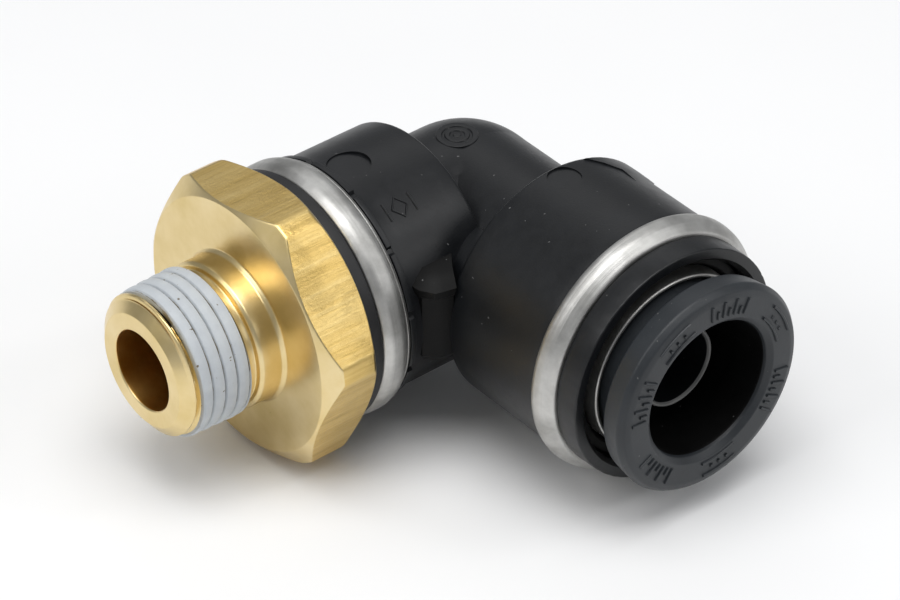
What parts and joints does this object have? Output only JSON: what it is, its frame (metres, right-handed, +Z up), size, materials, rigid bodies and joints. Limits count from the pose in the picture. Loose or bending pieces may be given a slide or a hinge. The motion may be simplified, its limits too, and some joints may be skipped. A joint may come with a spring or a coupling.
{
  "type": "push to connect fitting",
  "caption": "Male swivel elbow: brass stud with a sealed taper pipe thread and a black body with a push-to-connect tube socket and release button",
  "frame": {"origin": "centre of the male thread's end face", "axes": "+X along the stud into the fitting, -Y out of the tube port, +Z up, square to both arms"},
  "size_m": [0.0357, 0.0346, 0.019],
  "materials": {
    "brass": "turned and milled, bright",
    "sealant": "dried white film",
    "seal_rubber": "moulded",
    "spring_steel": "bright strip",
    "stainless": "satin, drawn sheet",
    "body_plastic": "moulded, satin",
    "button_plastic": "moulded, satin",
    "support_plastic": "moulded",
    "bush_plastic": "moulded acetal"
  },
  "bodies": {
    "stud": {"male_stud": "brass", "thread_sealant": "sealant", "dust_seal": "seal_rubber", "stud_o_ring": "seal_rubber", "retaining_clip": "spring_steel"},
    "elbow": {"elbow_body": "body_plastic", "guide_bush": "bush_plastic", "stud_clamp_ring": "stainless", "tube_clamp_ring": "stainless", "tube_support": "support_plastic", "tube_seal": "seal_rubber", "seal_spacer": "bush_plastic", "collet": "body_plastic"},
    "grip": {"chuck": "spring_steel", "guide_sleeve": "stainless"},
    "button": {"release_button": "button_plastic"}
  },
  "joints": [
    {"name": "elbow_swivel", "type": "hinge", "parent": "stud", "child": "elbow", "pos_m": [0.0265, 0, 0], "axis": [1, 0, 0], "continuous": true},
    {"name": "grip_turn", "type": "hinge", "parent": "elbow", "child": "grip", "pos_m": [0.0265, 0, 0], "axis": [0, -1, 0], "continuous": true},
    {"name": "button_press", "type": "slide", "parent": "grip", "child": "button", "axis": [0, 1, 0], "range_m": [0, 0.0012], "stiffness_N_per_m": 400}
  ]
}
